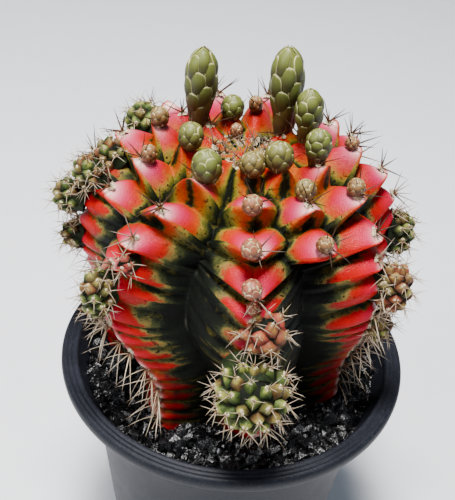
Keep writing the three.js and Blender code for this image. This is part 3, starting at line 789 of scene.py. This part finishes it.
def put_wool(bag, at, outward, down, size, long=1.0, fibres=10):
    """A cushion of small lumps of wool with loose fibres; long stretches it down the rib."""
    side = np.cross(outward, down)
    rings = np.linspace(0.0, 1.0, 4)[1:]
    turns = np.linspace(0, 2 * np.pi, 8, endpoint=False)
    faces = [face[::-1] for face in ring_faces(3, 8) + cap_faces(0, 8, 24, True)]
    for _ in range(LUMPS):
        turn = dice.uniform(0, 2 * np.pi)
        spread = size * LUMP_SPREAD * math.sqrt(dice.random())
        middle = at + (down * math.cos(turn) * long + side * math.sin(turn)) * spread
        lump = size * dice.uniform(0.36, 0.58)
        reach = lump * rings[:, None] * dice.uniform(0.85, 1.15, (3, 8))
        rise = lump * LUMP_RISE * np.cos(rings * np.pi / 2)[:, None] * dice.uniform(0.8, 1.2, (3, 8))
        rise = rise - WOOL_SINK
        points = (middle + down * (reach * np.cos(turns))[..., None]
                  + side * (reach * np.sin(turns))[..., None] + outward * rise[..., None])
        top = middle + outward * (lump * LUMP_RISE - WOOL_SINK)
        bag.put(np.concatenate([points.reshape(-1, 3), [top]]), faces, 0)
    for _ in range(fibres):
        turn = dice.uniform(0, 2 * np.pi)
        root = at + (down * math.cos(turn) * long + side * math.sin(turn)) * size * dice.uniform(0.2, 0.9)
        away = outward + (down * math.cos(turn) + side * math.sin(turn)) * dice.uniform(0.2, 1.4)
        put_thread(bag, root, away, side * dice.uniform(-0.4, 0.4), size * dice.uniform(0.7, 1.3),
                   0.07, 3, 0)


def put_spines(bag, at, outward, down, lengths, tilts, turns, dark, radius=0.30, fall=0.15):
    """A fan of spines: turn is measured round the pad from straight down, tilt from outwards."""
    side = np.cross(outward, down)
    for length, tilt, turn in zip(lengths, tilts, turns):
        turn = math.radians(turn + dice.uniform(-12, 12))
        tilt = math.radians(tilt + dice.uniform(-10, 10))
        across = down * math.cos(turn) + side * math.sin(turn)
        direction = outward * math.cos(tilt) + across * math.sin(tilt)
        bend = np.array([0, 0, -1.0]) * fall * dice.uniform(0.2, 1.4) + side * dice.uniform(-0.1, 0.1)
        put_thread(bag, at + outward * 0.2, direction, bend, length * dice.uniform(0.75, 1.15),
                   radius * dice.uniform(0.8, 1.15), 5, 1, dark=dark)


def put_areole(bag, at, outward, down, s):
    """An areole whose looks follow its age, which s tells."""
    old = float(smooth(0.8, 1.3, s))
    size = blend(1.5, 1.25, old)
    put_wool(bag, at - outward * 0.15, outward, down, size, blend(1.05, 1.6, old), 9)
    dark = blend(1.1, 0.1, float(smooth(0.45, 1.15, s))) + dice.uniform(-0.2, 0.2)
    length = blend(8.0, 10.5, old)
    number = int(dice.integers(4, 7)) - int(1.5 * old)
    turns = np.linspace(-125, 125, number) if old > 0.5 else np.linspace(-150, 150, number)
    tilts = np.full(number, blend(48.0, 42.0, old))
    put_spines(bag, at, outward, down, np.full(number, length), tilts, turns,
               float(np.clip(dark, 0, 1)), blend(0.27, 0.19, old), blend(0.05, 0.45, old))


SOLID_AREOLES = {
    "front_left": [0.45, 0.64, 1.22, 1.42, 1.6, 1.76], "left_short": [0.53], "left": [1.26],
    "left_back": [0.26], "back_left": [0.33], "back": [0.39], "back_right": [0.33, 0.57],
    "right_back": [0.36, 0.58], "right": [0.65, 0.79, 1.32, 1.5, 1.68], "front": [1.8]}
NAMES_OF_ONE = {"left_short": "areole_left_short", "left": "areole_left_1",
                "left_back": "areole_left_back", "back_left": "areole_back_left",
                "back": "areole_back", "front": "areole_front"}
taken = set()
for rib, places in SOLID_AREOLES.items():
    for number, s in enumerate(places, 1):
        name = NAMES_OF_ONE.get(rib, "areole_%s_%d" % (rib, number))
        bag = Bag("along", "dark")
        put_areole(bag, *on_rib(rib, s), s)
        bag.make(name + "_tuft", [WOOL, HORN], [name])
        gaps = np.abs(np.array(AREOLES[RIB_INDEX[rib]]) - s)
        taken.add((rib, int(np.argmin(gaps))))

bag = Bag("along", "dark")
for rib in RIBS:
    for number, s in enumerate(areole_places(rib)):
        if (rib[0], number) not in taken and s < 1.9:
            put_areole(bag, *on_rib(rib[0], s), s)
bag.make("areoles_between", [WOOL, HORN])
print("areoles:", sum(len(places) for places in AREOLES))

# %% [markdown]
# ## The woolly crown
# The growing point is a dimple filled with new areoles pressed together, so it is all wool, with
# short dark spines leaning over it from every side.

# %% Build the crown
bag = Bag("along", "dark")
for i in range(16):
    s = 0.004 + 0.05 * math.sqrt(i / 16)
    at, outward, down = spot(math.degrees(i * GOLDEN_TURN) % 360, s)
    put_wool(bag, at, outward, down, 1.7, 1.0, 16)
    put_spines(bag, at, outward, down, [6.5, 5.5, 6.0], [35, 40, 30],
               dice.uniform(0, 360, 3), 0.8, 0.25, 0.0)
bag.make("crown_wool", [WOOL, HORN])

# %% [markdown]
# ### Skin of the offsets
# The offsets are young plants with their own skin: dark green between the tubercles, yellow-green
# and sometimes pink at their tips. The same wax lies over them.

# %% Offset skin
def offset_skin():
    r = Recipe("offset_skin")
    mottle = r.noise(380.0, 4.0)
    wobble = r.maths("MULTIPLY", r.maths("SUBTRACT", mottle, 0.5), 0.9)
    tone = r.maths("ADD", r.paint("tip"), wobble)
    green = r.add("ShaderNodeValToRGB", {"Fac": tone}, stops=[
        (0.25, "#0b0f07"), (0.55, "#222d15"), (0.82, "#48562a"), (1.0, "#86883f")]).outputs["Color"]
    blush = r.maths("MULTIPLY", r.paint("blush"), r.step(tone, 0.35, 0.7), True)
    colour = r.mix(blush, green, "#9c2634")
    return r.surface(Base_Color=colour, Roughness=r.step(tone, 0.2, 0.8, 0.7, 0.42), IOR=1.45,
                     Specular_IOR_Level=0.12, Normal=r.bump(r.noise(1400.0, 3.0), 0.4, 0.0003))


PUP_SKIN = offset_skin()

# %% [markdown]
# ## Offsets
# Small plants that grow from areoles of the ribs. Each is a dark core on a short neck, with plump
# tubercles set in a spiral, and each tubercle ends in its own areole. Where the neck is longer, a
# ring of tubercles grows on it too and covers part of it.

# %% Build the offsets
CORE_SHARE = 0.76           # size of the core as a share of the offset
NECK_SHARE = 0.40           # radius of the neck as a share of the offset's width or length
NECK_SINK = 1.5             # how far the neck is sunk into the skin
BARE_NECK = 2.5             # a neck longer than this gets a ring of tubercles


def put_tubercle(bag, root, axis, down, length, width, blush):
    """A plump finger with a chin below and an areole on its tip."""
    a, b = frame_on(axis, -down)
    steps = np.array([0.0, 0.25, 0.5, 0.72, 0.88, 0.97])
    turns = np.linspace(0, 2 * np.pi, 12, endpoint=False)
    r = width / 2 * np.array([1.15, 1.05, 0.9, 0.7, 0.48, 0.24])
    lobes = 1.0 + 0.12 * np.cos(4 * turns)
    lower = unit(down - axis * np.dot(down, axis))
    line = root + axis * (steps * length)[:, None] + lower * (0.12 * width * np.sin(steps * np.pi))[:, None]
    rings = (line[:, None, :] + a * (r[:, None] * np.cos(turns) * lobes)[..., None]
             + b * (r[:, None] * np.sin(turns) * lobes * 0.9)[..., None])
    tip = root + axis * length
    faces = [face[::-1] for face in ring_faces(6, 12)] + cap_faces(60, 12, 72)
    paint = np.append(np.repeat(steps, 12), 1.0)
    bag.put(np.concatenate([rings.reshape(-1, 3), [tip]]), faces, 0, tip=paint, blush=blush)
    return tip, lower


def put_offset(bag, centre, outward, down, width, length, number, blush, out, finger=0.30):
    """A core on a short neck, with tubercles on every side that doesn't face the stem."""
    side = np.cross(outward, down)
    own_axes = np.stack([outward, side, down])
    half = np.array([width / 2, width / 2, length / 2])
    lat = np.linspace(0, np.pi, 12)
    lon = np.linspace(0, 2 * np.pi, 20, endpoint=False)
    shell = np.stack([np.sin(lat)[:, None] * np.cos(lon), np.sin(lat)[:, None] * np.sin(lon),
                      np.cos(lat)[:, None] * np.ones(20)], -1)
    bag.put(centre + (shell * half * CORE_SHARE) @ own_axes, ring_faces(12, 20), 0,
            tip=0.1, blush=blush * 0.3)
    turns = np.linspace(0, 2 * np.pi, 16, endpoint=False)
    steps = np.array([-out - NECK_SINK, -out * 0.5, 0.0])
    neck = (centre + outward * steps[:, None, None]
            + side * (NECK_SHARE * width * np.cos(turns))[None, :, None]
            + down * (NECK_SHARE * length * np.sin(turns))[None, :, None])
    bag.put(neck.reshape(-1, 3), [face[::-1] for face in ring_faces(3, 16)], 0, tip=0.4, blush=0.0)

    def dress(root, axis, tall, thick):
        """A tubercle with its wool and spines."""
        tip, lower = put_tubercle(bag, root, axis, down, tall, thick,
                                  float(np.clip(blush + dice.uniform(-0.2, 0.2), 0, 1)))
        put_wool(bag_of_tufts, tip - axis * 0.1, axis, lower, min(0.85, 0.25 * thick), 1.0, 4)
        put_spines(bag_of_tufts, tip, axis, lower, [4.2] * 3, [44] * 3, [-100, 0, 100],
                   0.35, 0.13, 0.1)

    tall = finger * min(width, length)
    thick = math.sqrt(width * length) * math.sqrt(3.6 / number)
    around = max(5, round(1.25 * (width + length) / thick)) if out > BARE_NECK else 0
    for k in range(around):
        spin = 2 * math.pi * (k + dice.uniform(-0.2, 0.2)) / around
        radial = side * math.cos(spin) + down * math.sin(spin)
        rim = side * width * math.cos(spin) + down * length * math.sin(spin)
        foot = centre - outward * out * 0.5 + NECK_SHARE * rim
        axis = unit(radial + outward * 0.3)
        dress(foot - axis * 0.5 * tall, axis, tall * dice.uniform(0.8, 1.0), thick * 0.9)
    turn = float(dice.uniform(0, 6.28))
    for i in range(number):
        level = 1.0 - 2.0 * (i + 0.5) / number
        ring = math.sqrt(1.0 - level * level)
        spin = turn + i * GOLDEN_TURN
        local = np.array([ring * math.cos(spin), ring * math.sin(spin), level])
        if local[0] < -0.6:
            continue
        axis = unit((local / half) @ own_axes)
        surface = centre + (local * half) @ own_axes
        own_thick = thick * dice.uniform(0.88, 1.06)
        own_tall = tall * dice.uniform(0.9, 1.2)
        dress(surface - axis * own_tall, axis, own_tall, own_thick)


# name, rib, s, width, length, out from the skin, degrees to one side, tubercles, blush
OFFSETS = [
    ("offset_front_upper", "front", 0.93, 12.0, 12.0, 3.0, 4.0, 18, 0.5),
    ("offset_front_ball", "front", 1.10, 19.5, 18.0, 8.0, 0.0, 54, 0.0),
    ("offset_left_lower", "front_left", 0.94, 9.0, 15.0, 3.5, 0.0, 26, 0.15),
    ("offset_left_knob", "front_left", 0.78, 5.0, 6.0, 2.0, 4.5, 9, 0.8),
    ("offset_left_edge_1", "left", 0.55, 9.0, 10.0, 3.0, 5.0, 22, 0.1),
    ("offset_left_edge_2", "left", 0.71, 10.0, 11.0, 4.0, 5.0, 26, 0.08),
    ("offset_left_edge_3", "left", 0.88, 9.0, 11.0, 4.0, 2.0, 24, 0.05),
    ("offset_left_edge_4", "left", 1.05, 7.5, 9.0, 2.8, 0.0, 18, 0.0),
    ("offset_back_left", "left_back", 0.50, 11.0, 12.0, 3.0, 8.0, 24, 0.0),
    ("offset_right_edge", "right_back", 0.97, 9.0, 15.0, 3.5, 0.0, 28, 0.0),
    ("offset_right_middle", "right", 0.93, 10.0, 16.0, 4.0, 4.0, 30, 0.3),
    ("offset_right_lower", "right", 1.15, 8.0, 9.5, 3.2, 4.0, 18, 0.15),
]
for name, rib, s, width, length, out, side, number, blush in OFFSETS:
    point, outward, down = on_rib(rib, s, side)
    bag = Bag("tip", "blush")
    bag_of_tufts = Bag("along", "dark")
    put_offset(bag, point + outward * out, outward, down, width, length, number, blush, out)
    bag.make(name + "_tubercles", [PUP_SKIN], [name])
    bag_of_tufts.make(name + "_tufts", [WOOL, HORN])
print("offsets:", len(OFFSETS))

# %% [markdown]
# ### Lava grit
# Crushed black lava. Freshly broken faces are glassy and catch the light, the rest is matt and full
# of pores. Basalt has an IOR near 1.6. Each stone has its own grey, painted on it.

# %% Grit material
def lava():
    r = Recipe("black_lava")
    pores = r.noise(1300.0, 5.0, 0.7)       # pores of about 0.6 mm
    shade = r.maths("ADD", r.paint("shade"), r.maths("MULTIPLY", r.maths("SUBTRACT", pores, 0.5), 0.5))
    colour = r.add("ShaderNodeValToRGB", {"Fac": shade}, stops=[
        (0.1, "#020203"), (0.55, "#060709"), (0.85, "#0f1013"), (1.0, "#44484f")]).outputs["Color"]
    return r.surface(Base_Color=colour, Roughness=r.step(pores, 0.35, 0.65, 0.1, 0.42), IOR=1.6,
                     Normal=r.bump(pores, 0.45, 0.0006))


LAVA = lava()

# %% [markdown]
# ## The grit
# Stones from about 2 to 7 mm across, most of them small. Fourteen angular stones are made as the hulls
# of random points, then copied with their own size and turn. They lie in a shallow layer that leans against
# the ribs, over a flat bed that closes the gaps between them.

# %% Build the grit
import bmesh

GRIT_REACH = 45.6
STONES = 1200
STONE_SHAPES = 14
SMALLEST_STONE = 0.9        # radius
STONE_RANGE = 2.5           # how much larger the largest is
BED_RADIUS = 46.0
BED_DEPTH = 2.2             # below the grit's level


def stone_shape():
    """A broken stone about 1 mm in radius: points and faces."""
    cloud = dice.normal(size=(13, 3))
    cloud = cloud / np.linalg.norm(cloud, axis=1)[:, None] * dice.uniform(0.75, 1.05, (13, 1))
    cloud = cloud * np.array([1.0, dice.uniform(0.65, 1.0), dice.uniform(0.5, 0.85)])
    mesh = bmesh.new()
    for point in cloud:
        mesh.verts.new(point)
    bmesh.ops.convex_hull(mesh, input=mesh.verts)
    loose = [vert for vert in mesh.verts if not vert.link_faces]
    bmesh.ops.delete(mesh, geom=loose, context="VERTS")
    mesh.verts.index_update()
    points = np.array([vert.co[:] for vert in mesh.verts])
    faces = [[vert.index for vert in face.verts] for face in mesh.faces]
    mesh.free()
    return points, faces


def stem_reach(angle):
    """Radius of the stem at the grit, measured from its own middle, for an angle round it."""
    s = 1.93
    radius, _ = ridge_line(s)
    return float(radius) - float(skin_field(np.array([angle]), np.array([s]))["depth"][0])


def random_turn():
    a, b, c = dice.uniform(0, 2 * np.pi, 3)
    turn = Matrix.Rotation(a, 3, "X") @ Matrix.Rotation(b, 3, "Y") @ Matrix.Rotation(c, 3, "Z")
    return np.array(turn)


def build_grit():
    shapes = [stone_shape() for _ in range(STONE_SHAPES)]
    bag = Bag("shade")
    placed = 0
    while placed < STONES:
        x, y = dice.uniform(-GRIT_REACH, GRIT_REACH, 2)
        size = SMALLEST_STONE + STONE_RANGE * dice.random() ** 1.7
        if math.hypot(x, y) > GRIT_REACH - size * 0.5:
            continue
        away = math.hypot(x - STEM_X, y - STEM_Y)
        angle = math.degrees(math.atan2(x - STEM_X, -(y - STEM_Y)))
        if away < stem_reach(angle) - 1.0:
            continue
        points, faces = shapes[int(dice.integers(len(shapes)))]
        z = GRIT_LEVEL - 1.6 + dice.uniform(0.0, 2.4) - 0.35 * size
        bag.put(points @ random_turn().T * size + np.array([x, y, z]), faces,
                shade=float(np.clip(dice.normal(0.42, 0.2), 0, 1)))
        placed += 1
    rings = np.linspace(0, BED_RADIUS, 12)[1:]
    turns = np.linspace(0, 2 * np.pi, 72, endpoint=False)
    bed = np.stack([rings[:, None] * np.cos(turns), rings[:, None] * np.sin(turns),
                    GRIT_LEVEL - BED_DEPTH + 0.3 * np.sin(rings[:, None] * 1.7 + turns * 9)], -1)
    bag.put(np.concatenate([bed.reshape(-1, 3), [[0, 0, GRIT_LEVEL - BED_DEPTH]]]),
            [face[::-1] for face in ring_faces(11, 72)] + cap_faces(0, 72, 11 * 72), shade=0.3)
    return bag.make("lava_stones", [LAVA], ["grit_topping"], smooth_faces=False)


grit = build_grit()
print("stones:", STONES, "faces:", len(grit.data.polygons))

# %% [markdown]
# ### Pot plastic
# Thin injection-moulded polypropylene, charcoal with a blue cast. It has a fine satin grain, faint
# scuffs and a little dust. The IOR of polypropylene is 1.49 and its roughness here about 0.5.

# %% Pot material
def pot_plastic():
    r = Recipe("charcoal_plastic")
    grain = r.noise(2200.0, 3.0)            # grain of 0.4 mm, drawn coarser than life
    dust = r.noise(120.0, 6.0, 0.7)         # dusty patches of about 1 cm
    colour = r.mix(r.step(dust, 0.45, 0.75, 0.0, 0.4), "#13151c", "#272932")
    colour = r.mix(r.step(grain, 0.55, 0.7, 0.0, 0.5), colour, "#41434c")
    rough = r.maths("ADD", 0.36, r.maths("MULTIPLY", dust, 0.25))
    return r.surface(Base_Color=colour, Roughness=rough, IOR=1.49, Specular_IOR_Level=0.14,
                     Normal=r.bump(grain, 0.4, 0.0003))


PLASTIC = pot_plastic()

# %% [markdown]
# ## The pot
# A nursery pot is a thin tapered cup with a rolled rim, a raised floor and drain holes. It is turned
# from one outline: up the outside, over the rim with its two fine rings, and down the inside. The
# drain holes are then cut with cylinders.

# %% Build the pot
POT_HEIGHT = 90.0
RIM_RADIUS = 52.5
RIM_WIDTH = 5.2
RIM_DEPTH = 4.5
BASE_RADIUS = 34.8
WALL = 1.6
WALL_SLOPE = 0.107
FLARE_START = 60.0
FLARE = 0.004               # how fast the wall opens above that, per mm squared
POT_FLOOR = 4.4
FOOT_RISE = 2.0
DRAIN_HOLES = 8
DRAIN_RADIUS = 3.0
DRAIN_CIRCLE = 20.0
POT_SIDES = 144


def wall_radius(z):
    return BASE_RADIUS + WALL_SLOPE * z + FLARE * max(z - FLARE_START, 0.0) ** 2


def pot_outline():
    rim_in = RIM_RADIUS - RIM_WIDTH
    under = POT_HEIGHT - RIM_DEPTH
    top = POT_HEIGHT
    outside = [(0.0, 0.0), (12.5, 0.0), (13.0, 0.4), (13.5, FOOT_RISE), (BASE_RADIUS - 7.5, FOOT_RISE),
               (BASE_RADIUS - 6.8, 0.3), (BASE_RADIUS - 6.5, 0.0), (BASE_RADIUS - 0.8, 0.0),
               (BASE_RADIUS - 0.2, 0.3), (BASE_RADIUS, 1.0)]
    heights = list(np.linspace(6.0, under - 4.0, 16))
    outside += [(wall_radius(z), z) for z in heights]
    rim = [(wall_radius(under) + 0.1, under), (RIM_RADIUS - 1.2, under), (RIM_RADIUS - 0.5, under + 0.25),
           (RIM_RADIUS - 0.2, under + 0.9), (RIM_RADIUS, top - 2.2), (RIM_RADIUS - 0.1, top - 1.0),
           (RIM_RADIUS - 0.5, top - 0.35), (RIM_RADIUS - 1.1, top - 0.05), (RIM_RADIUS - 1.7, top),
           (RIM_RADIUS - 1.95, top - 0.35), (RIM_RADIUS - 2.2, top - 0.35), (RIM_RADIUS - 2.45, top - 0.05),
           (RIM_RADIUS - 3.1, top - 0.05), (RIM_RADIUS - 3.35, top - 0.4), (RIM_RADIUS - 3.6, top - 0.4),
           (RIM_RADIUS - 3.85, top - 0.1), (rim_in + 0.5, top - 0.15), (rim_in + 0.1, top - 0.6),
           (rim_in - 0.1, top - 1.6), (rim_in - 0.4, top - 2.8)]
    inside = [(min(wall_radius(z) - WALL, rim_in), z) for z in reversed(heights)]
    inner = wall_radius(POT_FLOOR) - WALL
    return outside + rim + inside + [(inner, POT_FLOOR + 1.5), (inner - 0.5, POT_FLOOR + 0.4),
                                     (inner - 1.6, POT_FLOOR), (0.0, POT_FLOOR)]


def build_pot():
    outline = np.array(pot_outline())
    turns = np.linspace(0, 2 * np.pi, POT_SIDES, endpoint=False)
    rings = outline[1:-1]
    points = np.stack([rings[:, :1] * np.cos(turns), rings[:, :1] * np.sin(turns),
                       rings[:, 1:] * np.ones(POT_SIDES)], -1)
    count = len(rings) * POT_SIDES
    bag = Bag()
    faces = [face[::-1] for face in ring_faces(len(rings), POT_SIDES)]
    faces += cap_faces(0, POT_SIDES, count, True) + cap_faces(count - POT_SIDES, POT_SIDES, count + 1)
    bag.put(np.concatenate([points.reshape(-1, 3), [[0, 0, 0.0], [0, 0, POT_FLOOR]]]), faces)
    pot = bag.make("nursery_pot", [PLASTIC], ["pot"])
    drill_mesh = bmesh.new()
    for k in range(DRAIN_HOLES):
        a = 2 * math.pi * (k + 0.5) / DRAIN_HOLES
        at = Matrix.Translation(Vector((DRAIN_CIRCLE * math.cos(a), DRAIN_CIRCLE * math.sin(a), 3.0)) * MM)
        bmesh.ops.create_cone(drill_mesh, cap_ends=True, segments=28, radius1=DRAIN_RADIUS * MM,
                              radius2=DRAIN_RADIUS * MM, depth=12 * MM, matrix=at)
    data = bpy.data.meshes.new("drill")
    drill_mesh.to_mesh(data)
    drill_mesh.free()
    drill = bpy.data.objects.new("drill", data)
    bpy.context.scene.collection.objects.link(drill)
    cut = pot.modifiers.new("drain_holes", "BOOLEAN")
    cut.object = drill
    cut.solver = "EXACT"
    bpy.context.view_layer.objects.active = pot
    bpy.context.view_layer.update()
    graph = bpy.context.evaluated_depsgraph_get()
    cut_mesh = bpy.data.meshes.new_from_object(pot.evaluated_get(graph))
    pot.modifiers.clear()
    pot.data = cut_mesh
    bpy.data.objects.remove(drill)
    return pot


pot = build_pot()
print("pot faces:", len(pot.data.polygons))

# %% [markdown]
# ### Growing mix
# Peat, bark and fine pumice fill the pot under the grit and show only through the drain holes. The
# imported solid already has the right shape, so it stays and gets a better material: dark brown crumbs
# with pale grains.

# %% Growing mix
def growing_mix():
    r = Recipe("peat_and_pumice")
    crumbs = r.cells(420.0)                 # crumbs of about 2 mm
    fine = r.noise(900.0, 5.0, 0.7)
    colour = r.mix(r.step(fine, 0.35, 0.65), "#120c07", "#3a2817")
    pumice = r.step(r.cells(260.0).outputs["Distance"], 0.12, 0.2, 1.0, 0.0)
    colour = r.mix(r.maths("MULTIPLY", pumice, 0.7), colour, "#a89f8c")
    relief = r.maths("ADD", crumbs.outputs["Distance"], fine)
    return r.surface(Base_Color=colour, Roughness=0.95, Normal=r.bump(relief, 1.0, 0.001))


soil = bpy.data.objects["growing_mix"]
soil.data.materials.clear()
soil.data.materials.append(growing_mix())
print("growing mix keeps its solid:", soil.name)

# %% [markdown]
# ## Camera
# The camera looks down on the plant from in front, with a slight roll. It stands close, so the crown
# looks larger than the foot.

# %% Camera
CAMERA_AT = Vector((-0.0040, -0.2031, 0.2846))
PITCH = math.radians(37.78)
ROLL = math.radians(4.67)
LENS = 64.8


def place_camera():
    data = bpy.data.cameras.new("camera")
    data.sensor_width = 36.0
    data.lens = LENS
    data.clip_start = 0.01
    data.clip_end = 20.0
    eye = bpy.data.objects.new("camera", data)
    forward = Vector((0.0, math.cos(PITCH), -math.sin(PITCH)))
    right = forward.cross(Vector((0, 0, 1))).normalized()
    up = right.cross(forward)
    tilted_right = math.cos(ROLL) * right + math.sin(ROLL) * up
    tilted_up = -math.sin(ROLL) * right + math.cos(ROLL) * up
    turn = Matrix((tilted_right, tilted_up, -forward)).transposed().to_4x4()
    eye.matrix_world = Matrix.Translation(CAMERA_AT) @ turn
    bpy.context.scene.collection.objects.link(eye)
    bpy.context.scene.camera = eye


place_camera()

# %% [markdown]
# ## Floor and lamps
# A sheet of pale matt paper runs under the pot and far behind it. One small lamp high up gives the
# crisp shadows between the ribs, a weaker one at the side lights the left flank, and a wide, very weak
# lamp on the right and pale air fill the shadows so that the dark grooves keep their shape.

# %% Floor and lamps
# name, place, size, power in watts, colour
LAMPS = [
    ("overhead", (-0.05, -0.07, 0.85), 0.20, 18.5, "#fdfbf8"),
    ("fill", (0.5, -0.6, 0.5), 0.8, 0.9, "#e4eeff"),
    ("side", (-0.55, -0.35, 0.6), 0.3, 4.5, "#ffffff"),
]
AIR_STRENGTH = 0.22
LAMP_AIM = (0, 0, 0.12)     # near the plant's waist


def studio():
    r = Recipe("matt_paper")
    fibre = r.noise(60.0, 3.0)
    paper = r.surface(Base_Color=r.mix(r.step(fibre, 0.3, 0.7), "#eaedf3", "#eef0f6"), Roughness=0.9)
    bpy.ops.mesh.primitive_plane_add(size=8.0, location=(0, 1.0, 0))
    floor = bpy.context.object
    floor.name = "floor"
    floor.data.materials.append(paper)
    world = bpy.data.worlds.new("studio_air")
    bpy.context.scene.world = world
    world.use_nodes = True
    world.node_tree.nodes["Background"].inputs["Color"].default_value = linear("#dbe6f4")
    world.node_tree.nodes["Background"].inputs["Strength"].default_value = AIR_STRENGTH
    for name, at, size, power, colour in LAMPS:
        lamp = bpy.data.lights.new(name, "AREA")
        lamp.size = size
        lamp.energy = power
        lamp.color = linear(colour)[:3]
        stand = bpy.data.objects.new(name, lamp)
        stand.location = at
        aim = Vector(LAMP_AIM) - Vector(at)
        stand.rotation_euler = aim.to_track_quat("-Z", "Y").to_euler()
        bpy.context.scene.collection.objects.link(stand)


studio()
